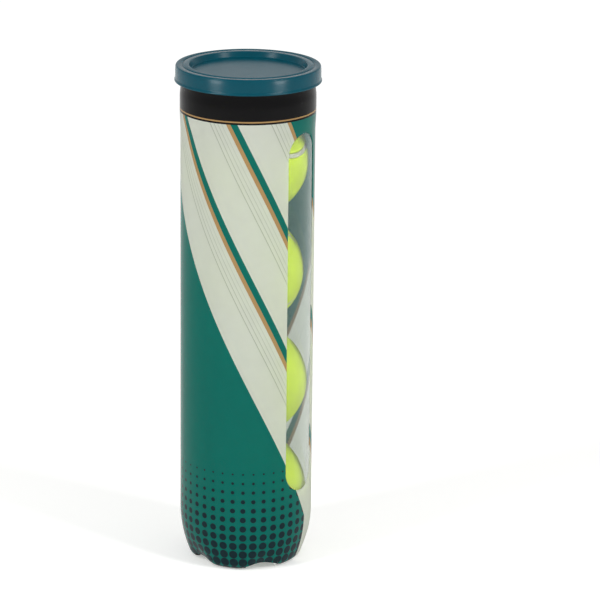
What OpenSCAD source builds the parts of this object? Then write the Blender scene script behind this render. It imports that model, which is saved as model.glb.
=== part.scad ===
// Tennis ball can: a clear blown can on five feet, a printed shrink sleeve round it,
// a metal end seamed to its mouth with a ring-pull panel, a push-on overcap, and four balls.
// Millimetres. The origin is on the table under the can's axis, +Z is up and -Y is the front.
// Angles round the can are counted from the front towards +X.

/* [Can] */
// Height of the whole can, from its feet to the top of the overcap
total_h = 292; // [288:0.5:300]
// Outside radius of the clear can's wall
can_r = 37.95; // [37.8:0.05:38]
// Thickness of the clear can's wall
wall_t = 0.6; // [0.6:0.05:0.6]
// How far the band below the rim swells out past the wall
swell = 0.45; // [0.1:0.05:0.6]

/* [Base] */
// Number of feet
feet = 5; // [5:1:5]
// Height at which the wall starts to curve in towards the feet
base_h = 30; // [26:0.5:34]
// Radius of the large curve from the wall down to the feet
side_bend = 72; // [64:1:90]
// Radius of the tight curve round the outside of a foot
foot_round = 6.5; // [5:0.1:7.5]
// Width of the flat that each foot stands on
foot_flat = 2.2; // [1.5:0.1:3]
// Radius of the hollow channel between two feet
valley_r = 10; // [9.5:0.1:10.5]
// Height of the middle of the base above the table
pole_h = 6.5; // [6:0.1:6.8]

/* [Sleeve] */
// Thickness of the shrink film
film_t = 0.21; // [0.21:0.04:0.25]
// Angle of the window's centre line from the front
window_at = 55.4; // [-180:0.1:180]
// Half the width of the window
window_half = 12.2; // [8:0.1:16]
// Height of the window's lower end
window_low = 46.2; // [42:0.1:80]
// Height of the window's upper end
window_high = 257.5; // [200:0.1:258]

/* [Metal end] */
// Thickness of the sheet metal
metal_t = 0.28; // [0.22:0.01:0.3]
// Radius of the opening that the torn-off panel leaves
mouth_r = 35.5; // [35.4:0.05:35.7]
// Gap along the score line
score_gap = 0.2; // [0.15:0.05:0.3]
// Length of the ring-pull from its nose to the end of the ring
tab_l = 36; // [32:0.5:40]

/* [Overcap] */
// Outside radius of the skirt
cap_r = 41.2; // [41.2:0.05:41.6]
// Height of the skirt
skirt_h = 9; // [8:0.1:10]
// How far the lip at the bottom of the skirt stands out
lip = 0.45; // [0.2:0.05:0.6]
// Radius of the recess in the top
recess_r = 33.3; // [31:0.1:34]
// Depth of the recess in the top
recess_d = 3.1; // [2.6:0.1:3.2]

/* [Balls] */
// Radius of a ball over its felt
ball_r = 32.7; // [32.4:0.05:32.8]
// Thickness of the felt cover
felt_t = 3; // [2.6:0.1:3.4]
// Thickness of the rubber core
core_t = 3.9; // [3:0.1:4.5]
// Half the width of the seam, as an angle at the ball's centre
seam_half = 2.1; // [1.4:0.1:3]
// How far the seam lies below the felt
seam_drop = 0.45; // [0.2:0.05:0.8]
// Height of the lowest ball's centre
ball_low = 40.6; // [40.4:0.1:41]
// Distance from one ball's centre up to the next
ball_step = 65.7; // [65.7:0.1:66]

/* [Hidden] */
$fn = 96;

// The rim: every height is counted down from the top of the overcap.
seam_top = total_h - 1.4;
seam_low = seam_top - 3.2;
flange_top = seam_top - 0.4;
seam_r = can_r + 1.5;
panel_z = seam_top - 6.2;
film_top = seam_low - 0.8;

// The swollen band below the rim, from bottom to top.
swell_z = [total_h - 34, total_h - 26, total_h - 17, total_h - 14.5];

// The side's large curve has its centre far inside; the foot's circle stands a hair proud of it,
// so that the two curves cross.
hair = 0.02;
side_c = [can_r - side_bend, base_h];
foot_c = [side_c.x + sqrt(pow(side_bend - foot_round, 2) - pow(base_h - foot_round, 2)) + hair, foot_round];
foot_dir = (foot_c - side_c) / norm(foot_c - side_c);
// The inside of a foot turns on a smaller circle and runs straight up to the middle.
heel_round = 4;
heel_c = [foot_c.x - foot_flat, heel_round];
heel_rise = 4.5;
heel_d = norm(heel_c - [0, heel_rise]);
heel_a = atan2(heel_c.y - heel_rise, heel_c.x) - asin(heel_round / heel_d);
heel_dir = [sin(heel_a), -cos(heel_a)];

// A valley's floor is an arc from a point on the wall down to the middle.
valley_top = base_h + 2;
valley_z = (can_r * can_r + valley_top * valley_top - pole_h * pole_h) / (2 * (valley_top - pole_h));
valley_ring = valley_z - pole_h + valley_r;

// The film ends just above the table and draws up in an arch between the feet.
film_low = 1.2;
arch_h = 3.6;
arch_r = 25;

// Where each ball lies against the wall, from the bottom up, and how it is turned.
ball_shift = [[2.0, 0.8], [2.2, -0.6], [-0.3, 1.0], [2.0, -0.4]];
ball_turn = [[20, -12, -40], [130, -20, -30], [75, -10, -45], [105, 30, -9]];

pet = [0.86, 0.9, 0.88, 0.45];
print_green = [0.06, 0.4, 0.36];
tin = [0.78, 0.79, 0.8];
cap_teal = [0.05, 0.36, 0.42];
felt_yellow = [0.82, 0.9, 0.25];
seam_white = [0.86, 0.87, 0.8];
core_grey = [0.3, 0.3, 0.32];
lining = [0.55, 0.5, 0.42];

// Outline of the can on one side of its axis, grown by g, up to the height top.
module can_outline(g, top) {
    polygon([[0, base_h], [can_r + g, base_h], [can_r + g, swell_z[0]], [can_r + swell + g, swell_z[1]],
        [can_r + swell + g, swell_z[2]], [can_r + g, swell_z[3]], [can_r + g, top], [0, top]]);
    intersection() {
        translate(side_c) circle(side_bend + g, $fn = 240);
        polygon([[0, foot_c.y], foot_c, foot_c + 30 * foot_dir, [can_r + 20, base_h], [0, base_h]]);
    }
    pie(foot_c, foot_round + g, [0, -1], [1, 0]);
    pie(heel_c, heel_round + g, [-1, 0], [0, -1]);
    polygon([[0, heel_rise - g / cos(heel_a)], heel_c + (heel_round + g - hair) * heel_dir, heel_c,
        [heel_c.x, -g], [foot_c.x, -g], foot_c, [0, foot_c.y]]);
}

// Slice of a disc about c, from direction u to direction v.
module pie(c, r, u, v) {
    translate(c)
        intersection() {
            circle(r);
            polygon([[0, 0], 3 * r * u, 3 * r * (u + v) / norm(u + v), 3 * r * v]);
        }
}

// One channel per gap between feet: a bent tube that runs from the wall to the middle of the base,
// where a flat dish joins them all. The front foot stands a little to the left of the front.
module valleys(g) {
    for (i = [0:feet - 1])
        rotate([0, 0, -90 - 18 + (i + 0.5) * 360 / feet])
            translate([0, 0, valley_z])
                rotate([90, 0, 0])
                    rotate([0, 0, -86])
                        rotate_extrude(angle = 71)
                            translate([valley_ring, 0]) circle(valley_r + g);
    translate([0, 0, -1]) cylinder(r1 = 14 + g, r2 = 9 + g, h = pole_h + 1.4 + g);
}

// Shallow arches between the feet, where the film's lower edge draws up over the valleys.
module film_arches() {
    for (i = [0:feet - 1])
        rotate([0, 0, -90 - 18 + (i + 0.5) * 360 / feet])
            translate([10, 0, film_low + arch_h - arch_r])
                rotate([0, 90, 0]) cylinder(r = arch_r, h = 40);
}

// Flange at the can's mouth, turned out and down into the seam.
module mouth_flange() {
    translate([can_r - wall_t, flange_top - 0.55]) square([wall_t + 1.05, 0.55]);
    translate([can_r + 0.5, seam_low + 0.5]) square([0.55, flange_top - seam_low - 0.5]);
}

// Section of bent sheet: straight runs between the points, with a round bend at each corner.
module sheet(pts, t, bend) {
    n = len(pts);
    dirs = [for (i = [0:n - 2]) (pts[i + 1] - pts[i]) / norm(pts[i + 1] - pts[i])];
    cuts = [for (i = [0:n - 1]) i == 0 || i == n - 1 ? 0 : bend * tan(acos(dirs[i - 1] * dirs[i]) / 2)];
    for (i = [0:n - 2]) {
        d = dirs[i];
        side = [-d.y, d.x] * t / 2;
        a = pts[i] + d * cuts[i];
        b = pts[i + 1] - d * cuts[i + 1];
        polygon([a - side, b - side, b + side, a + side]);
    }
    for (i = [1:n - 2]) {
        d0 = dirs[i - 1];
        d1 = dirs[i];
        s = sign(d0.x * d1.y - d0.y * d1.x);
        u0 = s * [d0.y, -d0.x];
        u1 = s * [d1.y, -d1.x];
        c = pts[i] - d0 * cuts[i] - u0 * bend;
        difference() {
            pie(c, bend + t / 2, u0, u1);
            translate(c) circle(bend - t / 2);
        }
    }
}

// Section of thin sheet with sharp corners: the line through the points, thickened evenly to both sides.
module stamped(pts, t) {
    n = len(pts);
    dirs = [for (i = [0:n - 2]) (pts[i + 1] - pts[i]) / norm(pts[i + 1] - pts[i])];
    offs = [for (i = [0:n - 1])
        let (a = dirs[max(i - 1, 0)], b = dirs[min(i, n - 2)], m = a + b)
        [-m.y, m.x] * t / (m * a) / 2];
    polygon(concat([for (i = [0:n - 1]) pts[i] - offs[i]], [for (i = [n - 1:-1:0]) pts[i] + offs[i]]));
}

// Clear can, blown in one piece.
module can_body() {
    color(pet)
        difference() {
            rotate_extrude() {
                can_outline(0, flange_top);
                mouth_flange();
            }
            valleys(0);
            difference() {
                rotate_extrude() can_outline(-wall_t, total_h);
                valleys(wall_t);
            }
        }
}

// Printed film, shrunk round the can, with the clear window left open.
module label_sleeve() {
    color(print_green)
        difference() {
            rotate_extrude() can_outline(film_t, film_top);
            rotate_extrude() can_outline(0, total_h);
            translate([0, 0, -1]) cylinder(r = 2 * can_r, h = 1 + film_low);
            cylinder(r = foot_c.x + 1, h = base_h);
            film_arches();
            window();
        }
}

// Stadium-shaped cutter for the window, square to the wall.
module window() {
    rotate([0, 0, window_at - 90])
        translate([can_r - 12, 0, 0])
            rotate([90, 0, 90])
                linear_extrude(height = 20) {
                    translate([0, window_low + window_half]) circle(window_half);
                    translate([0, window_high - window_half]) circle(window_half);
                    translate([-window_half, window_low + window_half])
                        square([2 * window_half, window_high - window_low - 2 * window_half]);
                }
}

// Metal rim: the double seam, the wall inside the mouth, the gutter and the ledge at the score line.
module end_ring() {
    h = metal_t / 2;
    wall_r = can_r - wall_t - 0.07 - h;
    color(tin)
        rotate_extrude()
            sheet([[can_r + 0.29, flange_top - 0.8], [can_r + 0.29, seam_low + h], [seam_r - h, seam_low + h],
                [seam_r - h, seam_top - h], [wall_r, seam_top - h], [wall_r, panel_z - 0.7],
                [wall_r - 0.9, panel_z - 0.7], [wall_r - 0.9, panel_z + 0.2], [mouth_r, panel_z + 0.2]],
                metal_t, 0.3);
}

// Sealing compound inside the seam.
module seam_gasket() {
    r = can_r + 1.05;
    z = flange_top;
    color(lining)
        rotate_extrude()
            polygon([[can_r - 0.3, z], [r, z], [r, seam_low + 0.8], [r + 0.15, seam_low + 0.8],
                [r + 0.15, z - 0.05], [r + 0.08, z + 0.06], [r - 0.05, z + 0.11], [can_r - 0.3, z + 0.11]]);
}

// The ring-pull lies with its nose at the back, close to the score line.
nose_y = mouth_r - 3.2;
rivet_y = nose_y - 6.8;
ring_r = 11.3;
ring_y = nose_y - tab_l + ring_r + 0.55;
hole_r = 8.1;
tab_z = panel_z + 1.45;

// Torn-off panel of the end, with a stiffening bead, a stepped edge and the rivet that holds the ring-pull.
module tear_panel() {
    edge = mouth_r - score_gap;
    color(tin)
        union() {
            rotate_extrude()
                stamped([[0, panel_z], [edge - 5.7, panel_z], [edge - 5, panel_z + 0.45], [edge - 3.6, panel_z + 0.45],
                    [edge - 2.9, panel_z], [edge - 1.4, panel_z], [edge - 0.9, panel_z + 0.2],
                    [edge, panel_z + 0.2]], metal_t);
            translate([0, rivet_y, panel_z]) cylinder(r = 2, h = 2);
            translate([0, rivet_y, tab_z + 0.2]) cylinder(r1 = 3.1, r2 = 2.6, h = 0.55);
        }
}

// Tongue cut out of the ring-pull: the rivet holds it flat while the rest bends up.
module tab_tongue() {
    color(tin)
        translate([0, 0, tab_z - 0.15])
            linear_extrude(height = 0.35)
                difference() {
                    union() {
                        translate([0, rivet_y]) circle(3.9);
                        translate([-3.4, rivet_y]) square([6.8, nose_y - 1.8 - rivet_y]);
                    }
                    translate([0, rivet_y]) circle(2);
                }
}

// Outline of the ring-pull, drawn in by g from its edge.
module tab_outline(g) {
    nose = 6 - g;
    hip = ring_r - 1.6 - g;
    polygon([[-nose, nose_y - g], [nose, nose_y - g], [hip, ring_y + 3], [-hip, ring_y + 3]]);
    translate([0, ring_y]) circle(ring_r - g);
}

// Ring-pull: a thin web with folded rims, a finger ring and a rolled nose that breaks the score.
module pull_tab() {
    rim = 1.2;
    rim_t = 0.9;
    web_t = 0.34;
    color(tin)
        union() {
            translate([0, 0, tab_z - rim_t / 2])
                linear_extrude(height = rim_t) {
                    difference() {
                        tab_outline(0);
                        tab_outline(rim);
                    }
                    translate([0, ring_y])
                        difference() {
                            circle(hole_r + rim);
                            circle(hole_r);
                        }
                }
            translate([0, 0, tab_z - web_t / 2])
                linear_extrude(height = web_t)
                    difference() {
                        tab_outline(rim / 2);
                        translate([0, ring_y]) circle(hole_r + rim / 2);
                        translate([0, rivet_y]) circle(4.6);
                        translate([-4.1, rivet_y]) square([8.2, nose_y - 1.6 - rivet_y]);
                    }
            translate([-6, nose_y, tab_z]) rotate([0, 90, 0]) cylinder(r = 0.5, h = 12, $fn = 32);
        }
}

// Push-on overcap: recessed top, a fine groove round it, a skirt with a lip and a bead that grips the seam.
module overcap() {
    round = 0.7;
    inside = cap_r - 1.1;
    low = total_h - skirt_h;
    floor_z = total_h - recess_d;
    color(cap_teal)
        rotate_extrude()
            difference() {
                union() {
                    polygon([[0, floor_z - 1], [recess_r + 0.2, floor_z - 1], [recess_r + 1.1, total_h - 1.1],
                        [inside, total_h - 1.1], [inside, low], [cap_r + lip, low], [cap_r + lip, low + 0.6],
                        [cap_r, low + 1.1], [cap_r, total_h - round], [cap_r - round, total_h - round],
                        [cap_r - round, total_h], [recess_r + 0.5, total_h], [recess_r + 0.5, total_h - 0.5],
                        [recess_r, total_h - 0.5], [recess_r - 0.9, floor_z], [0, floor_z]]);
                    translate([cap_r - round, total_h - round]) circle(round);
                    translate([recess_r + 0.5, total_h - 0.5]) circle(0.5);
                    translate([inside + 0.1, seam_low - 1]) circle(0.5);
                }
                translate([cap_r - 4, total_h + 0.1]) circle(0.35);
            }
}

// Puts a ball's piece at its place in the stack.
module at_ball(i) {
    translate([ball_shift[i].x, ball_shift[i].y, ball_low + i * ball_step])
        rotate(ball_turn[i])
            children();
}

// Half of the hollow rubber core; two are glued edge to edge.
module core_half(up) {
    outer = ball_r - felt_t;
    color(core_grey)
        intersection() {
            difference() {
                sphere(outer);
                sphere(outer - core_t);
            }
            translate([-ball_r, -ball_r, up ? 0 : -ball_r]) cube([2 * ball_r, 2 * ball_r, ball_r]);
        }
}

// Sector of a ring on one side of the turning axis, from angle a to angle b off that axis.
module ring_sector(outer, inner, a, b) {
    far = 2 * outer;
    intersection() {
        difference() {
            circle(outer);
            circle(inner);
        }
        polygon([[0, 0], far * [sin(a), cos(a)], far * [sin((a + b) / 2), cos((a + b) / 2)], far * [sin(b), cos(b)]]);
    }
}

// Band of a hollow ball between two angles off an axis, half way round: off Y on the upper half,
// off X on the lower half.
module half_band(outer, inner, a, b, up) {
    rotate(up ? [-90, 0, 0] : [0, 90, 0])
        rotate(up ? 180 : -90)
            rotate_extrude(angle = 180) ring_sector(outer, inner, a, b);
}

// One dumbbell-shaped felt panel: its waist crosses the top, its two lobes reach round the sides.
module felt_panel() {
    inner = ball_r - felt_t;
    color(felt_yellow)
        union() {
            half_band(ball_r, inner, 45 + seam_half, 135 - seam_half, true);
            half_band(ball_r, inner, 0, 45 - seam_half, false);
            half_band(ball_r, inner, 135 + seam_half, 180, false);
        }
}

// The rubber seam between the two panels, one closed curve round the ball.
module seam_strip() {
    outer = ball_r - seam_drop;
    inner = ball_r - felt_t;
    color(seam_white)
        for (up = [true, false], mid = [45, 135])
            half_band(outer, inner, mid - seam_half, mid + seam_half, up);
}

// The second felt panel is the first one turned over and a quarter turn round.
module other_felt_panel() {
    rotate([0, 0, 90]) rotate([180, 0, 0]) felt_panel();
}

can_body();
label_sleeve();
end_ring();
seam_gasket();
tear_panel();
tab_tongue();
pull_tab();
overcap();
at_ball(0) core_half(false);  // ball_1_core_lower
at_ball(0) core_half(true);  // ball_1_core_upper
at_ball(0) felt_panel();  // ball_1_felt_a
at_ball(0) other_felt_panel();  // ball_1_felt_b
at_ball(0) seam_strip();  // ball_1_seam
at_ball(1) core_half(false);  // ball_2_core_lower
at_ball(1) core_half(true);  // ball_2_core_upper
at_ball(1) felt_panel();  // ball_2_felt_a
at_ball(1) other_felt_panel();  // ball_2_felt_b
at_ball(1) seam_strip();  // ball_2_seam
at_ball(2) core_half(false);  // ball_3_core_lower
at_ball(2) core_half(true);  // ball_3_core_upper
at_ball(2) felt_panel();  // ball_3_felt_a
at_ball(2) other_felt_panel();  // ball_3_felt_b
at_ball(2) seam_strip();  // ball_3_seam
at_ball(3) core_half(false);  // ball_4_core_lower
at_ball(3) core_half(true);  // ball_4_core_upper
at_ball(3) felt_panel();  // ball_4_felt_a
at_ball(3) other_felt_panel();  // ball_4_felt_b
at_ball(3) seam_strip();  // ball_4_seam
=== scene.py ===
import math

import bpy
import numpy as np
from mathutils import Euler, Matrix, Vector, noise


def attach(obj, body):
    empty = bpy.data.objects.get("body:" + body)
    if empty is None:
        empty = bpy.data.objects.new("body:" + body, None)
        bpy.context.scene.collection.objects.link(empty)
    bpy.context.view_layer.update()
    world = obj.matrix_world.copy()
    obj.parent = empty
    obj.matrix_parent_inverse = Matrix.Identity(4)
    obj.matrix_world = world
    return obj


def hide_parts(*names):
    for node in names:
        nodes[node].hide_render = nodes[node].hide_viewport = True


# Tennis ball can: clear can, printed shrink film, ring-pull end, overcap and four balls.
# Lengths in the settings are millimetres, angles are degrees from the front towards +X.
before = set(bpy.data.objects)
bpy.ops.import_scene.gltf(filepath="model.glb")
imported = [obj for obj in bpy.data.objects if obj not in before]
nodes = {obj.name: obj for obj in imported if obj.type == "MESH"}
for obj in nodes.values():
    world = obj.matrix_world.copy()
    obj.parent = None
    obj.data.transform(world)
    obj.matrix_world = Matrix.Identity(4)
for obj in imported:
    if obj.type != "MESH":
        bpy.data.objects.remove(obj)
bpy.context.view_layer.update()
mm = 0.001
mixA, mixB, mixOut = 6, 7, 2  # a Mix node's colour sockets, by number
print("frame:", len(nodes), "solids")


def linear(colour):
    # sRGB hex to the linear values that shaders take
    parts = [int(colour[i:i + 2], 16) / 255 for i in (1, 3, 5)]
    return tuple(c / 12.92 if c <= 0.04045 else ((c + 0.055) / 1.055) ** 2.4 for c in parts) + (1.0,)


def put(tree, kind, inputs, **settings):
    # one node with its settings; inputs are values, sockets or nodes, by number or name
    node = tree.nodes.new("ShaderNode" + kind)
    for name, value in settings.items():
        setattr(node, name, value)
    for name, value in (inputs.items() if isinstance(inputs, dict) else enumerate(inputs)):
        if isinstance(value, bpy.types.Node):
            tree.links.new(value.outputs[0], node.inputs[name])
        elif isinstance(value, bpy.types.NodeSocket):
            tree.links.new(value, node.inputs[name])
        else:
            node.inputs[name].default_value = value
    return node


def blankMaterial(name):
    material = bpy.data.materials.new(name)
    material.use_nodes = True
    material.node_tree.nodes.clear()
    return material, material.node_tree


def fillRamp(ramp, stops):
    # stops: (place from 0 to 1, colour with alpha), held flat between stops
    elements = ramp.color_ramp.elements
    ramp.color_ramp.interpolation = "CONSTANT"
    while len(elements) > 1:
        elements.remove(elements[-1])
    elements[0].position, elements[0].color = stops[0]
    for place, colour in stops[1:]:
        elements.new(place).color = colour


def dress(name, material):
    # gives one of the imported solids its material
    materials = nodes[name].data.materials
    materials.clear()
    materials.append(material)


def meshPiece(name, points, faces, materials, body, replaced):
    mesh = bpy.data.meshes.new(name)
    mesh.from_pydata([tuple(p) for p in points], [], faces)
    mesh.validate()
    mesh.update()
    mesh.shade_smooth()
    piece = bpy.data.objects.new(name, mesh)
    bpy.context.scene.collection.objects.link(piece)
    for material in materials:
        mesh.materials.append(material)
    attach(piece, body)
    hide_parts(*replaced)
    return piece


# the photograph's own lens and place
cameraSet = {"eye": (0.0, -1860.09, 708.86), "focal": 202.91, "sensor": 36.0,
             "pitch": 16.615, "yaw": 0.938, "roll": 0.603}


def makeCamera(s):
    pitch, yaw, roll = (math.radians(s[k]) for k in ("pitch", "yaw", "roll"))
    ahead = Vector((math.sin(yaw) * math.cos(pitch), math.cos(yaw) * math.cos(pitch), -math.sin(pitch)))
    level = Vector((math.cos(yaw), -math.sin(yaw), 0))
    upright = level.cross(ahead)
    right = math.cos(roll) * level + math.sin(roll) * upright
    up = math.cos(roll) * upright - math.sin(roll) * level
    data = bpy.data.cameras.new("camera")
    data.lens, data.sensor_width, data.sensor_fit = s["focal"], s["sensor"], "HORIZONTAL"
    data.clip_start, data.clip_end = 0.01, 100
    camera = bpy.data.objects.new("camera", data)
    turn = Matrix((right, up, -ahead)).transposed().to_4x4()
    camera.matrix_world = Matrix.Translation(Vector(s["eye"]) * mm) @ turn
    bpy.context.scene.collection.objects.link(camera)
    bpy.context.scene.camera = camera


makeCamera(cameraSet)

# lamps: degrees round from the camera, metres away and up, metres wide and tall, tilt, watts
stageSet = {
    "floor": "#f4f4f2", "floorSize": 12.0,
    "glow": (0.31, 0.5), "glowAway": (0.3, 1.4),  # the paper's own light near the can and far off
    "horizon": 1.0, "overhead": 0.48, "skyFrom": 0.06, "skyTo": 0.4,
    "lamps": [(-52, 1.2, 1.05, 0.3, 0.9, 62, 10.8), (52, 1.2, 1.05, 0.3, 0.9, 62, 10.8)],
    "capLamps": [(-50, 0.9, 0.21, 0.26, 0.15, 90, 2.8), (50, 0.9, 0.21, 0.26, 0.15, 90, 2.8)],
}


def makeLamps(lamps, only=None):
    # soft boxes that face the can; with "only", they give gloss to that collection and light nothing else
    for turn, away, high, wide, tall, tilt, power in lamps:
        data = bpy.data.lights.new("softbox", "AREA")
        data.shape, data.size, data.size_y, data.energy = "RECTANGLE", wide, tall, power
        lamp = bpy.data.objects.new("softbox", data)
        a = math.radians(turn)
        lamp.location = (away * math.sin(a), -away * math.cos(a), high)
        lamp.rotation_euler = (math.radians(tilt), 0, a)
        lamp.visible_camera = False
        bpy.context.scene.collection.objects.link(lamp)
        if only:
            lamp.visible_diffuse = False
            lamp.light_linking.receiver_collection = only
            lamp.light_linking.blocker_collection = only


def makeStage(s):
    scene = bpy.context.scene
    scene.view_settings.view_transform = "Standard"
    world = bpy.data.worlds.new("studio")
    world.use_nodes = True
    scene.world = world
    tree = world.node_tree
    tree.nodes.clear()
    # white paper all round, dimmer overhead
    way = put(tree, "SeparateXYZ", [put(tree, "TexCoord", {}).outputs["Generated"]])
    sky = put(tree, "MapRange", {"Value": way.outputs["Z"], "From Min": s["skyFrom"], "From Max": s["skyTo"],
                                 "To Min": s["horizon"], "To Max": s["overhead"]})
    light = put(tree, "Background", {"Color": (1, 1, 1, 1), "Strength": sky})
    put(tree, "OutputWorld", [light])
    # two strip softboxes hung in front, left and right of the camera
    makeLamps(s["lamps"])
    half = s["floorSize"] / 2
    corners = [(-half, -half, 0), (half, -half, 0), (half, half, 0), (-half, half, 0)]
    mesh = bpy.data.meshes.new("floor")
    mesh.from_pydata(corners, [], [(0, 1, 2, 3)])
    floor = bpy.data.objects.new("floor", mesh)
    # Matte paper sweep: even white with no gloss, and a soft shadow under the can.
    material, tree = blankMaterial("matte_white_paper")
    paint = put(tree, "BsdfPrincipled", {"Base Color": linear(s["floor"]), "Roughness": 0.9,
                                         "Specular IOR Level": 0.1})
    path = put(tree, "LightPath", {})
    seen = put(tree, "Math", [path.outputs["Is Camera Ray"], path.outputs["Is Glossy Ray"]],
               operation="MAXIMUM")
    seen = put(tree, "Math", [seen, path.outputs["Is Transmission Ray"]], operation="MAXIMUM")
    # the paper is lit again further off, so that it stays white to the edge of the picture
    away = put(tree, "VectorMath", [put(tree, "TexCoord", {}).outputs["Object"]], operation="LENGTH")
    level = put(tree, "MapRange", {"Value": away.outputs["Value"],
                                   "From Min": s["glowAway"][0], "From Max": s["glowAway"][1],
                                   "To Min": s["glow"][0], "To Max": s["glow"][1]})
    level = put(tree, "Math", [seen, level], operation="MULTIPLY")
    glow = put(tree, "Emission", {"Color": (1, 1, 1, 1), "Strength": level})
    put(tree, "OutputMaterial", [put(tree, "AddShader", [paint, glow])])
    mesh.materials.append(material)
    scene.collection.objects.link(floor)


makeStage(stageSet)
print("camera and stage done")

filmSet = {
    # the can's wall, and the film on it
    "canR": 37.95, "baseH": 30.0, "sideBend": 72.0, "footRound": 6.5, "hair": 0.02,
    "swell": [(254, 0.0), (266, 0.45), (275, 0.45), (280, 0.0)],
    "thick": 0.21, "glue": 0.05, "low": 0.5, "top": 286.6,
    # arches and dents over the gaps between the feet
    "feet": 5, "firstFoot": -18.0, "archH": 3.4, "archHalf": 25.0, "archPower": 1.3,
    "dentTop": 17.0, "dentLow": 3.0, "dentDepth": 3.0,
    "dentHalf": 21.0, "dentNarrows": 0.45, "dentPower": 1.7,
    "windowAt": 55.4, "windowHalf": 12.2, "windowLow": 46.2, "windowHigh": 257.5,
    # mesh columns across the window and beside it, rows below, beside and above it
    "across": 20, "beside": 226, "rows": (34, 24, 20), "rowPower": 1.7,
    # every diagonal falls "slope" mm for each mm round the can; places are its height at the front
    "printR": 38.15, "slope": 2.03, "groundFrom": 113.4, "fieldEdge": 41.5,
    "stripeAt": 169.6, "pitch": 71.5, "goldWide": 4.85, "greenWide": 8.1, "lastStripe": 312.6,
    "pins": [(5.4, 0.4), (10.05, 0.6), (14.8, 0.8), (20.0, 1.0)], "pinWide": 0.9, "pinReach": 24.0,
    "blackFrom": 265.9, "goldLine": 267.4, "goldLineHalf": 0.4,
    "dotTop": 60.7, "dotOver": 2.0, "dotRow": 5.55, "dotTurn": 9.0, "dotAt": -2.45,
    "dotR": 0.6, "dotGrow": 0.225,
    "ground": "#f8fcf0", "green": "#006e63", "gold": "#b6915f", "pin": "#c0c7b5",
    "black": "#0b0a0c", "dot": "#082830", "backing": "#e6eadc",
    # share of the light that passes the ground and the inks; white in the backing, and how dense it is
    # behind the inks and behind the ground
    "share": 0.56, "inkShare": 0.32, "backShare": 0.12, "dense": 0.4, "thin": 0.05, "gloss": 0.12,
}


def filmRadius(s, z, grown):
    # the can's outline on one side, grown outwards, at the height z
    if z >= s["baseH"]:
        r = s["canR"]
        for (z0, a), (z1, b) in zip(s["swell"], s["swell"][1:]):
            if z0 <= z <= z1:
                t = (z - z0) / (z1 - z0)
                r += a + (b - a) * t * t * (3 - 2 * t)
        return r + grown
    # below, one wide bend runs into the smaller one of the foot
    sideX = s["canR"] - s["sideBend"]
    reach = s["sideBend"] - s["footRound"]
    drop = s["baseH"] - s["footRound"]
    if z > s["footRound"] * (1 - drop / reach):
        return sideX + math.sqrt((s["sideBend"] + grown) ** 2 - (s["baseH"] - z) ** 2)
    footX = sideX + math.sqrt(reach * reach - drop * drop) + s["hair"]  # set out a hair, as in the solid
    down = s["footRound"] - z
    return footX + math.sqrt(max((s["footRound"] + grown) ** 2 - down * down, 0))


def fromValley(s, angle):
    # degrees from the nearest gap between two feet
    step = 360 / s["feet"]
    return (angle - s["firstFoot"]) % step - step / 2


def filmDent(s, angle, z):
    # how far the film draws in over the gap between two feet
    if z >= s["dentTop"]:
        return 0
    off = abs(fromValley(s, angle)) / (s["dentHalf"] - s["dentNarrows"] * (z - s["dentLow"]))
    if off >= 1:
        return 0
    fade = (s["dentTop"] - z) / (s["dentTop"] - s["dentLow"])
    return s["dentDepth"] * fade ** s["dentPower"] * math.cos(off * math.pi / 2) ** 2


def filmBottom(s, angle):
    # the lower edge lies flat round a foot and rises in a wide arch over each gap
    off = abs(fromValley(s, angle)) / s["archHalf"]
    if off >= 1:
        return s["low"]
    return s["low"] + s["archH"] * (1 - off * off) ** s["archPower"]


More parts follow.
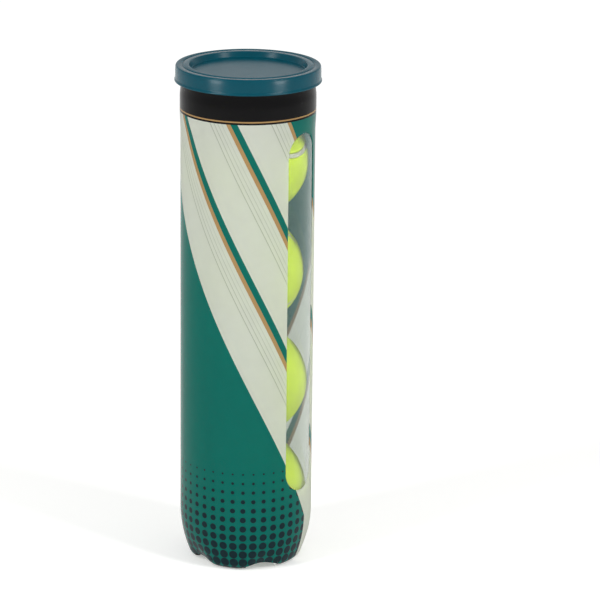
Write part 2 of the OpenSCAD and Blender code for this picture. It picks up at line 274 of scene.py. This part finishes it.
def makeFilm(s, materials):
    outer, half = s["canR"] + s["thick"], s["windowHalf"]
    reach = math.degrees(math.asin(half / outer))
    across, beside = s["across"], s["beside"]
    below, level, above = s["rows"]
    # each column's angle, and how far it lies from the window's middle line
    columns = []
    for k in range(across + 1):
        t = half * math.sin(math.pi * (k / across - 0.5))
        columns.append((s["windowAt"] + math.degrees(math.asin(t / outer)), t))
    for k in range(1, beside):
        columns.append((s["windowAt"] + reach + (360 - 2 * reach) * k / beside, half))
    points, faces, marks = [], [], []
    index = {}

    def point(layer, angle, z):
        grown = s["thick"] if layer == 0 else s["glue"]
        r = filmRadius(s, z, grown) - filmDent(s, angle, z)
        a = math.radians(angle)
        points.append((r * math.sin(a) * mm, -r * math.cos(a) * mm, z * mm))
        return len(points) - 1

    for layer in (0, 1):
        for c, (angle, t) in enumerate(columns):
            bow = half - math.sqrt(max(half ** 2 - t * t, 0))   # the window's ends are half circles
            lower, upper = s["windowLow"] + bow, s["windowHigh"] - bow
            bottom = filmBottom(s, angle)
            for k in range(below + 1):
                z = bottom + (lower - bottom) * (k / below) ** s["rowPower"]
                index[layer, c, k] = point(layer, angle, z)
            if not 0 < c < across:
                for k in range(1, level):
                    z = lower + (upper - lower) * k / level
                    index[layer, c, below + k] = point(layer, angle, z)
            for k in range(above + 1):
                z = upper + (s["top"] - upper) * k / above
                index[layer, c, below + level + k] = point(layer, angle, z)
    total, count = below + level + above, len(columns)
    for c in range(count):
        d = (c + 1) % count
        for k in range(total):
            if c < across and below <= k < below + level:
                continue
            faces.append((index[0, c, k], index[0, d, k], index[0, d, k + 1], index[0, c, k + 1]))
            faces.append((index[1, c, k + 1], index[1, d, k + 1], index[1, d, k], index[1, c, k]))
            marks += [0, 1]                                     # outside printed, inside backed
        # cut edges: the bottom, the top and the window's two ends
        faces.append((index[1, c, 0], index[1, d, 0], index[0, d, 0], index[0, c, 0]))
        faces.append((index[0, c, total], index[0, d, total], index[1, d, total], index[1, c, total]))
        marks += [0, 0]
        if c < across:
            low, high = below, below + level
            faces.append((index[0, c, low], index[0, d, low], index[1, d, low], index[1, c, low]))
            faces.append((index[1, c, high], index[1, d, high], index[0, d, high], index[0, c, high]))
            marks += [0, 0]
    # and its two sides
    for k in range(below, below + level):
        faces.append((index[0, 0, k], index[1, 0, k], index[1, 0, k + 1], index[0, 0, k + 1]))
        faces.append((index[1, across, k], index[0, across, k],
                      index[0, across, k + 1], index[1, across, k + 1]))
        marks += [0, 0]
    piece = meshPiece("label_film", points, faces, materials, "can", ["label_sleeve"])
    for face, mark in zip(piece.data.polygons, marks):
        face.material_index = mark


def printPattern(tree, s):
    # gives the print's colour and where it is the pale ground
    place = put(tree, "SeparateXYZ", [put(tree, "TexCoord", {}).outputs["Object"]])
    ahead = put(tree, "Math", [place.outputs["Y"], -1.0], operation="MULTIPLY")
    angle = put(tree, "Math", [place.outputs["X"], ahead], operation="ARCTAN2")
    arc = put(tree, "Math", [angle, s["printR"]], operation="MULTIPLY")
    z = put(tree, "Math", [place.outputs["Z"], 1 / mm], operation="MULTIPLY")
    rise = put(tree, "Math", [arc, s["slope"], z], operation="MULTIPLY_ADD")
    first, pitch = s["groundFrom"], s["pitch"]
    turn = 2 * math.pi * s["printR"] * s["slope"]
    wrapped = put(tree, "Math", [rise, first + turn, first], operation="WRAP")
    # a gold and green double stripe on the ground, three times; alpha is 1 only on the ground
    past = put(tree, "Math", [wrapped, s["stripeAt"]], operation="SUBTRACT")
    past = put(tree, "Math", [past, pitch, 0.0], operation="WRAP")
    stripe = put(tree, "ValToRGB", {"Fac": put(tree, "Math", [past, pitch], operation="DIVIDE")})
    gold, green = (linear(s[k])[:3] + (0.0,) for k in ("gold", "green"))
    greenEnd = s["goldWide"] + s["greenWide"]
    fillRamp(stripe, [(0.0, gold), (s["goldWide"] / pitch, green), (greenEnd / pitch, linear(s["ground"]))])
    colour, ground = stripe.outputs["Color"], stripe.outputs["Alpha"]
    # fine lines before each stripe, stronger the further off
    before = put(tree, "Math", [pitch, past], operation="SUBTRACT")
    before = put(tree, "Math", [before, s["pinReach"]], operation="DIVIDE", use_clamp=True)
    fine = put(tree, "ValToRGB", {"Fac": before})
    stops = [(0.0, (0, 0, 0, 1))]
    for at, strength in s["pins"]:
        stops += [((at - s["pinWide"] / 2) / s["pinReach"], (strength, strength, strength, 1)),
                  ((at + s["pinWide"] / 2) / s["pinReach"], (0, 0, 0, 1))]
    fillRamp(fine, stops)
    lines = put(tree, "Math", [fine.outputs["Color"], ground], operation="MULTIPLY")
    # green field past the last stripe and round to the first, with an upright edge low down on the right
    field = put(tree, "Math", [wrapped, s["lastStripe"] + s["goldWide"]], operation="GREATER_THAN")
    cut = put(tree, "Math", [put(tree, "Math", [arc, s["fieldEdge"]], operation="GREATER_THAN"),
                             put(tree, "Math", [rise, first], operation="LESS_THAN")], operation="MULTIPLY")
    field = put(tree, "Math", [field, cut], operation="SUBTRACT", use_clamp=True)
    # halftone dots on the field that grow row by row towards the feet
    row = put(tree, "Math", [s["dotTop"], z], operation="SUBTRACT")
    row = put(tree, "Math", [row, s["dotRow"]], operation="DIVIDE")
    number = put(tree, "Math", [put(tree, "Math", [row], operation="ROUND"), 0.0], operation="MAXIMUM")
    up = put(tree, "Math", [row, number], operation="SUBTRACT")
    up = put(tree, "Math", [up, s["dotRow"]], operation="MULTIPLY")
    step = math.radians(s["dotTurn"])
    column = put(tree, "Math", [angle, 1 / step, -math.radians(s["dotAt"]) / step], operation="MULTIPLY_ADD")
    aside = put(tree, "Math", [column, put(tree, "Math", [column], operation="ROUND")], operation="SUBTRACT")
    aside = put(tree, "Math", [aside, step * s["printR"]], operation="MULTIPLY")
    far = put(tree, "Math", [aside, aside, put(tree, "Math", [up, up], operation="MULTIPLY")],
              operation="MULTIPLY_ADD")
    size = put(tree, "Math", [number, s["dotGrow"], s["dotR"]], operation="MULTIPLY_ADD")
    dots = put(tree, "Math", [put(tree, "Math", [far], operation="SQRT"), size], operation="LESS_THAN")
    low = put(tree, "Math", [z, s["dotTop"] + s["dotOver"]], operation="LESS_THAN")
    for mask in (field, low):
        dots = put(tree, "Math", [dots, mask], operation="MULTIPLY")
    # black band below the cap with one gold line
    band = put(tree, "Math", [z, s["blackFrom"]], operation="GREATER_THAN")
    line = put(tree, "Math", [z, s["goldLine"], s["goldLineHalf"]], operation="COMPARE")
    # one over another, each where its mask is 1
    for ink, mask in (("pin", lines), ("green", field), ("ground", cut),
                      ("dot", dots), ("black", band), ("gold", line)):
        colour = put(tree, "Mix", {"Factor": mask, mixA: colour, mixB: linear(s[ink])},
                     data_type="RGBA").outputs[mixOut]
    ground = put(tree, "Math", [ground, field], operation="SUBTRACT", use_clamp=True)
    ground = put(tree, "Math", [ground, cut], operation="MAXIMUM")
    ground = put(tree, "Math", [ground, band], operation="SUBTRACT", use_clamp=True)
    return colour, ground


def printedFilm(s):
    # Shrink film, gravure printed, glossy: solid inks, and a pale ground thin enough to glow
    # where a ball is close behind.
    material, tree = blankMaterial("gravure_printed_shrink_film")
    colour, ground = printPattern(tree, s)
    where = put(tree, "TexCoord", {}).outputs["Object"]
    # ink mottle about 6 mm across, too faint to see as spots
    mottle = put(tree, "TexNoise", {"Vector": where, "Scale": 1 / (6 * mm), "Detail": 3.0})
    shade = put(tree, "MapRange", {"Value": mottle, "To Min": 0.95, "To Max": 1.05})
    colour = put(tree, "Mix", {"Factor": 1.0, mixA: colour, mixB: shade},
                 data_type="RGBA", blend_type="MULTIPLY").outputs[mixOut]
    # shrink waves about 25 mm long leave the gloss slightly uneven
    waves = put(tree, "TexNoise", {"Vector": where, "Scale": 1 / (25 * mm), "Detail": 1.0})
    bump = put(tree, "Bump", {"Height": waves, "Strength": 0.06, "Distance": 0.4 * mm})
    rough = put(tree, "MapRange", {"Value": mottle, "To Min": 0.1, "To Max": 0.2})
    ink = put(tree, "BsdfPrincipled", {"Base Color": colour, "Roughness": rough, "IOR": 1.53,
                                       "Specular IOR Level": s["gloss"], "Normal": bump})
    # light that shines through passes the ink once, not twice, so it keeps the square root of the colour
    once = put(tree, "Gamma", {"Color": colour, "Gamma": 0.5})
    glow = put(tree, "BsdfTranslucent", {"Color": once})
    share = put(tree, "MapRange", {"Value": ground, "To Min": s["inkShare"], "To Max": s["share"]})
    put(tree, "OutputMaterial", [put(tree, "MixShader", [share, ink, glow])])
    return material


def filmBacking(s):
    # Inner side of the film: the inks seen from behind through a thin white backing,
    # and hardly any of it behind the pale ground.
    material, tree = blankMaterial("white_backed_film_inside")
    colour, ground = printPattern(tree, s)
    colour = put(tree, "Mix", {"Factor": s["backShare"], mixA: colour, mixB: linear(s["backing"])},
                 data_type="RGBA").outputs[mixOut]
    backing = put(tree, "BsdfPrincipled", {"Base Color": colour, "Roughness": 0.5, "IOR": 1.5,
                                           "Specular IOR Level": 0.2})
    clear = put(tree, "BsdfTransparent", {"Color": (1, 1, 1, 1)})
    share = put(tree, "MapRange", {"Value": ground, "To Min": s["dense"], "To Max": s["thin"]})
    put(tree, "OutputMaterial", [put(tree, "MixShader", [share, clear, backing])])
    return material


makeFilm(filmSet, [printedFilm(filmSet), filmBacking(filmSet)])
print("film done")

canSet = {"tint": "#f4f8f5", "shadow": "#f7f9f8", "ior": 1.44}


def clearPet(s):
    # Blown PET, clear and glossy, with the faint unevenness that blowing leaves. Lamps shine through it.
    # Its IOR is taken below PET's 1.57, so that the thin wall mirrors no more of the white room
    # than in the photograph.
    material, tree = blankMaterial("blown_clear_pet")
    where = put(tree, "TexCoord", {}).outputs["Object"]
    # flow marks about 18 mm long
    flow = put(tree, "TexNoise", {"Vector": where, "Scale": 1 / (18 * mm), "Detail": 2.0})
    bump = put(tree, "Bump", {"Height": flow, "Strength": 0.05, "Distance": 0.3 * mm})
    rough = put(tree, "MapRange", {"Value": flow, "To Min": 0.02, "To Max": 0.07})
    glass = put(tree, "BsdfPrincipled", {"Base Color": linear(s["tint"]), "Roughness": rough, "IOR": s["ior"],
                                         "Transmission Weight": 1.0, "Normal": bump})
    clear = put(tree, "BsdfTransparent", {"Color": linear(s["shadow"])})
    path = put(tree, "LightPath", {})
    put(tree, "OutputMaterial", [put(tree, "MixShader", [path.outputs["Is Shadow Ray"], glass, clear])])
    return material


dress("can_body", clearPet(canSet))
print("can done")

endSet = {"metal": "#d6d8da", "compound": "#8c8070"}


def endMetal(s):
    # Rolled aluminium sheet, bright and lightly brushed along one way by the rolls.
    material, tree = blankMaterial("rolled_aluminium_sheet")
    where = put(tree, "TexCoord", {}).outputs["Object"]
    # roll marks about 0.3 mm apart and some 20 mm long, drawn coarser than real ones so that they show
    stretch = put(tree, "Mapping", {"Vector": where, "Scale": (1 / (20 * mm), 1 / (0.3 * mm), 1 / (20 * mm))})
    rolls = put(tree, "TexNoise", {"Vector": stretch, "Scale": 1.0, "Detail": 3.0})
    rough = put(tree, "MapRange", {"Value": rolls, "To Min": 0.2, "To Max": 0.38})
    bump = put(tree, "Bump", {"Height": rolls, "Strength": 0.15, "Distance": 0.02 * mm})
    tone = put(tree, "MapRange", {"Value": rolls, "To Min": 0.93, "To Max": 1.04})
    colour = put(tree, "Mix", {"Factor": 1.0, mixA: linear(s["metal"]), mixB: tone},
                 data_type="RGBA", blend_type="MULTIPLY").outputs[mixOut]
    metal = put(tree, "BsdfPrincipled", {"Base Color": colour, "Metallic": 1.0, "Roughness": rough,
                                         "Normal": bump})
    put(tree, "OutputMaterial", [metal])
    return material


def plainRubber(name, colour, rough, grain):
    # Moulded rubber, matte, with a fine grain given in millimetres.
    material, tree = blankMaterial(name)
    where = put(tree, "TexCoord", {}).outputs["Object"]
    grit = put(tree, "TexNoise", {"Vector": where, "Scale": 1 / (grain * mm), "Detail": 4.0})
    tone = put(tree, "MapRange", {"Value": grit, "To Min": 0.85, "To Max": 1.12})
    shade = put(tree, "Mix", {"Factor": 1.0, mixA: linear(colour), mixB: tone},
                data_type="RGBA", blend_type="MULTIPLY").outputs[mixOut]
    bump = put(tree, "Bump", {"Height": grit, "Strength": 0.4, "Distance": 0.08 * mm})
    rubber = put(tree, "BsdfPrincipled", {"Base Color": shade, "Roughness": rough, "IOR": 1.52,
                                          "Normal": bump})
    put(tree, "OutputMaterial", [rubber])
    return material


endSheet = endMetal(endSet)
for name in ("end_ring", "tear_panel", "tab_tongue", "pull_tab"):
    dress(name, endSheet)
dress("seam_gasket", plainRubber("seam_sealing_compound", endSet["compound"], rough=0.7, grain=0.5))
print("metal end done")

capSet = {
    "high": 292.0, "r": 41.2, "skirt": 9.0, "wall": 1.1, "turns": 224, "sharp": 50,
    "round": 0.8, "lean": 0.18, "leanTall": 3.0, "leanSteps": 6,
    "recessR": 33.3, "recessD": 3.1, "recessIn": 1.45, "recessRound": 0.5,
    "floorThick": 1.0, "floorBevel": (0.2, -0.1, 0.05),
    "grooveR": 37.2, "groove": 0.5, "grooveUp": 0.08,
    "lip": 0.45, "lipTall": 0.68, "lipRound": 0.25, "lowRound": 0.2, "flare": 1.0, "flareUp": 1.75,
    "beadZ": 286.4, "beadR": 0.5, "beadIn": 0.1, "cornerR": 0.4,
    "floorGap": 0.15, "grooveGap": 0.12, "flareGap": 0.25, "beadGap": 0.05,  # flat left before each bend
    "colour": "#004452", "gloss": 0.12,
}


def capOutline(s):
    # closed line in (radius, height), from the middle of the top outwards, down the skirt and back inside
    r, top, edge, low = s["r"], s["high"], s["recessR"], s["high"] - s["skirt"]
    floor, rim, inside = top - s["recessD"], r + s["lip"], r - s["wall"]
    foot, under = edge - s["recessIn"], floor - s["floorThick"]
    line = [(0.0, floor), (foot - s["floorGap"], floor)]

    def arc(cx, cz, radius, a, b, steps):
        for k in range(steps + 1):
            t = math.radians(a + (b - a) * k / steps)
            line.append((cx + radius * math.cos(t), cz + radius * math.sin(t)))

    bend = s["recessRound"]
    arc(foot, floor + bend, bend, -90, -16, 6)                  # foot of the recess wall
    arc(edge + bend, top - bend, bend, 164, 90, 8)              # its upper edge
    flat = s["groove"] + s["grooveGap"]
    line.append((s["grooveR"] - flat, top))
    arc(s["grooveR"], top + s["grooveUp"], s["groove"], 200, 340, 8)  # fine groove round the top
    line.append((s["grooveR"] + flat, top))
    bend = s["round"]
    arc(r - s["lean"] - bend, top - bend, bend, 90, 12, 10)
    for k in range(1, s["leanSteps"]):                          # the skirt leans in a little here
        down = k / s["leanSteps"]
        line.append((r - s["lean"] * (1 - down) ** 2, top - bend - down * s["leanTall"]))
    line.append((r, low + s["flareUp"] + s["flareGap"]))
    arc(r + s["flare"], low + s["flareUp"], s["flare"], 180, 225, 7)  # flare above the lip
    arc(rim - s["lipRound"], low + s["lipTall"], s["lipRound"], 60, 0, 4)
    bend = s["lowRound"]
    arc(rim - bend, low + bend, bend, 0, -90, 4)
    arc(inside + bend, low + bend, bend, -90, -180, 4)
    line.append((inside, s["beadZ"] - s["beadR"] - s["beadGap"]))
    arc(inside + s["beadIn"], s["beadZ"], s["beadR"], 230, 130, 8)  # bead that grips the seam
    bend = s["cornerR"]
    arc(inside - bend, top - s["wall"] - bend, bend, 0, 90, 4)
    line.append((edge + s["wall"], top - s["wall"]))
    outwards, inwards, rise = s["floorBevel"]
    line += [(edge + outwards, under + rise), (edge + inwards, under), (0.0, under)]
    return line


def makeCap(s, material):
    line, turns = capOutline(s), s["turns"]
    points, faces, first = [], [], []
    for r, z in line:
        first.append(len(points))
        for k in range(turns if r else 1):
            a = 2 * math.pi * k / turns
            points.append((r * math.cos(a) * mm, r * math.sin(a) * mm, z * mm))
    for i, (a, b) in enumerate(zip(first, first[1:])):
        for k in range(turns):
            m = (k + 1) % turns
            if line[i][0] == 0:
                faces.append((a, b + k, b + m))
            elif line[i + 1][0] == 0:
                faces.append((a + k, b, a + m))
            else:
                faces.append((a + k, b + k, b + m, a + m))
    piece = meshPiece("overcap_moulding", points, faces, [material], "cap", ["overcap"])
    piece.data.set_sharp_from_angle(angle=math.radians(s["sharp"]))
    return piece


def capPlastic(s):
    # Injection-moulded LDPE: waxy satin skin, a faint mould texture and slightly cloudy dye.
    material, tree = blankMaterial("moulded_ldpe")
    where = put(tree, "TexCoord", {}).outputs["Object"]
    # mould texture 0.5 mm across, coarser than the real one so that it shows, and clouds about 14 mm
    skin = put(tree, "TexNoise", {"Vector": where, "Scale": 1 / (0.5 * mm), "Detail": 2.0})
    cloud = put(tree, "TexNoise", {"Vector": where, "Scale": 1 / (14 * mm), "Detail": 3.0})
    tone = put(tree, "MapRange", {"Value": cloud, "To Min": 0.9, "To Max": 1.1})
    shade = put(tree, "Mix", {"Factor": 1.0, mixA: linear(s["colour"]), mixB: tone},
                data_type="RGBA", blend_type="MULTIPLY").outputs[mixOut]
    rough = put(tree, "MapRange", {"Value": cloud, "To Min": 0.2, "To Max": 0.28})
    bump = put(tree, "Bump", {"Height": skin, "Strength": 0.12, "Distance": 0.05 * mm})
    plastic = put(tree, "BsdfPrincipled", {"Base Color": shade, "Roughness": rough, "IOR": 1.51,
                                           "Specular IOR Level": s["gloss"], "Normal": bump,
                                           "Subsurface Weight": 0.08, "Subsurface Scale": 0.6 * mm,
                                           "Subsurface Radius": (0.4, 1.0, 1.0)})
    put(tree, "OutputMaterial", [plastic])
    return material


cap = makeCap(capSet, capPlastic(capSet))
capOnly = bpy.data.collections.new("cap_only")
capOnly.objects.link(cap)
makeLamps(stageSet["capLamps"], capOnly)  # for the two soft lights on the skirt
print("overcap done")

ballSet = {
    "r": 32.7, "felt": 3.0, "feltGap": 0.05, "seamHalf": 2.1, "low": 40.6, "step": 65.7,
    "shift": [(2.0, 0.8), (2.2, -0.6), (-0.3, 1.0), (2.0, -0.4)],
    "turn": [(20, -12, -40), (130, -20, -30), (75, -10, -45), (105, 30, -9)],
    # rows of the mesh in mm from a panel's edge, then evenly to its middle
    "edgeRows": [0, 0.12, 0.35, 0.7, 1.15, 1.7], "innerFrom": 2.6, "innerRows": 13, "around": 60,
    "nap": 0.16, "napSize": 2.6, "napSeed": (7, 3, 5), "round": 1.5, "edgeDrop": 1.1,
    "colour": "#bad027", "sheen": "#eef7a0", "seam": "#a6a692", "core": "#4a4a4e",
}


def ballPlace(s, i):
    # the ball's own axes at its place in the stack
    turn = Euler([math.radians(a) for a in s["turn"][i]], "XYZ").to_matrix()
    return turn, Vector((s["shift"][i][0], s["shift"][i][1], s["low"] + i * s["step"]))


def panelGrid(s, flip):
    # directions of a dumbbell felt panel, with each one's distance in mm from the panel's edge;
    # the seam's middle runs on four half circles, each 45 degrees from its own pole
    half, start = math.radians(45 - s["seamHalf"]), math.radians(45 + s["seamHalf"])
    steps = s["edgeRows"] + list(np.linspace(s["innerFrom"], half * s["r"], s["innerRows"]))
    turns = [math.pi * k / s["around"] for k in range(s["around"] + 1)]
    ways, edges, faces = [], [], []
    where = {}

    def add(x, y, z, edge):
        key = (round(x, 6), round(y, 6), round(z, 6))
        if key not in where:
            where[key] = len(ways)
            ways.append((x, y, z))
            edges.append(edge)
        return where[key]

    def patch(rows):
        for a, b in zip(rows, rows[1:]):
            for k in range(s["around"]):
                face = tuple(dict.fromkeys((a[k], a[k + 1], b[k + 1], b[k])))
                if len(face) > 2:
                    faces.append(face)

    # the belt in the middle, then the two ends
    belt = [(start + e / s["r"], e) for e in steps]
    belt += [(math.pi - start - e / s["r"], e) for e in reversed(steps[:-1])]
    patch([[add(math.sin(a) * math.cos(t), math.cos(a), math.sin(a) * math.sin(t), e) for t in turns]
           for a, e in belt])
    for side in (1, -1):
        ends = [(half - e / s["r"], e) for e in steps]
        patch([[add(side * math.cos(a), side * math.sin(a) * math.cos(t), -math.sin(a) * math.sin(t), e)
                for t in turns] for a, e in ends])
    ways = np.array(ways)
    if flip:
        swap = Euler((0, 0, math.pi / 2)).to_matrix() @ Euler((math.pi, 0, 0)).to_matrix()
        ways = ways @ np.array(swap).T
    return ways, np.array(edges), faces


def facesOut(points, faces, centre, sign):
    # every face turned so that it looks away from the centre, or towards it
    found = []
    for f in faces:
        a, b, c = points[f[0]], points[f[1]], points[f[2]]
        out = np.dot(np.cross(b - a, c - a), (a + b + c) / 3 - centre)
        found.append(f if out * sign > 0 else f[::-1])
    return found


def makePanel(s, i, flip, material):
    ways, edges, faces = panelGrid(s, flip)
    turn, centre = ballPlace(s, i)
    # the edge is rounded off, and the nap is a little uneven, differently on each ball
    t = np.clip(1 - edges / s["round"], 0, 1)
    seedX, seedY, seedZ = s["napSeed"]
    seed = Vector((seedX * i, seedY, seedZ))
    bumps = np.array([noise.noise(Vector(w) * (s["r"] / s["napSize"]) + seed) for w in ways])
    radius = s["r"] - s["edgeDrop"] * (1 - np.sqrt(1 - t * t)) - s["nap"] * (0.5 + 0.5 * bumps)
    spun = ways @ np.array(turn).T
    middle = np.array(centre)
    outer = middle + spun * radius[:, None]
    inner = middle + spun * (s["r"] - s["felt"] + s["feltGap"])
    count = len(ways)
    outFaces = facesOut(outer, faces, middle, 1)
    inFaces = [tuple(v + count for v in f) for f in facesOut(inner, faces, middle, -1)]
    used = dict.fromkeys((a, b) for f in outFaces for a, b in zip(f, f[1:] + f[:1]))
    wall = [(b, a, a + count, b + count) for a, b in used if (b, a) not in used]
    points = np.vstack([outer, inner]) * mm
    ball, side = "ball_%d" % (i + 1), "b" if flip else "a"
    meshPiece("%s_felt_panel_%s" % (ball, side), points, outFaces + inFaces + wall, [material],
              ball, ["%s_felt_%s" % (ball, side)])


def feltWool(s):
    # Woven wool felt with a raised nap: soft sheen, short fibres lying every way, slightly uneven dye.
    material, tree = blankMaterial("raised_wool_felt")
    where = put(tree, "TexCoord", {}).outputs["Object"]
    # fibres about 0.7 mm apart, drawn coarser than real ones so that they show, and tufts about 4 mm
    fibre = put(tree, "TexNoise", {"Vector": where, "Scale": 1 / (0.7 * mm), "Detail": 6.0,
                                   "Roughness": 0.7, "Distortion": 1.4})
    tuft = put(tree, "TexNoise", {"Vector": where, "Scale": 1 / (4 * mm), "Detail": 3.0})
    tone = put(tree, "MapRange", {"Value": fibre, "From Min": 0.3, "From Max": 0.7,
                                  "To Min": 0.82, "To Max": 1.08})
    patchy = put(tree, "MapRange", {"Value": tuft, "From Min": 0.3, "From Max": 0.7,
                                    "To Min": 0.94, "To Max": 1.05})
    tone = put(tree, "Math", [tone, patchy], operation="MULTIPLY")
    shade = put(tree, "Mix", {"Factor": 1.0, mixA: linear(s["colour"]), mixB: tone},
                data_type="RGBA", blend_type="MULTIPLY").outputs[mixOut]
    bump = put(tree, "Bump", {"Height": fibre, "Strength": 0.7, "Distance": 0.35 * mm})
    wool = put(tree, "BsdfPrincipled", {"Base Color": shade, "Roughness": 0.95, "Specular IOR Level": 0.15,
                                        "Normal": bump, "Sheen Weight": 0.15, "Sheen Roughness": 0.5,
                                        "Sheen Tint": linear(s["sheen"])})
    put(tree, "OutputMaterial", [wool])
    return material


felt = feltWool(ballSet)
seamRubber = plainRubber("vulcanised_seam_rubber", ballSet["seam"], rough=0.75, grain=0.4)
coreRubber = plainRubber("moulded_core_rubber", ballSet["core"], rough=0.8, grain=0.6)
for i in range(4):
    for flip in (False, True):
        makePanel(ballSet, i, flip, felt)
    for part in ("core_lower", "core_upper", "seam"):
        dress("ball_%d_%s" % (i + 1, part), seamRubber if part == "seam" else coreRubber)
print("balls done")
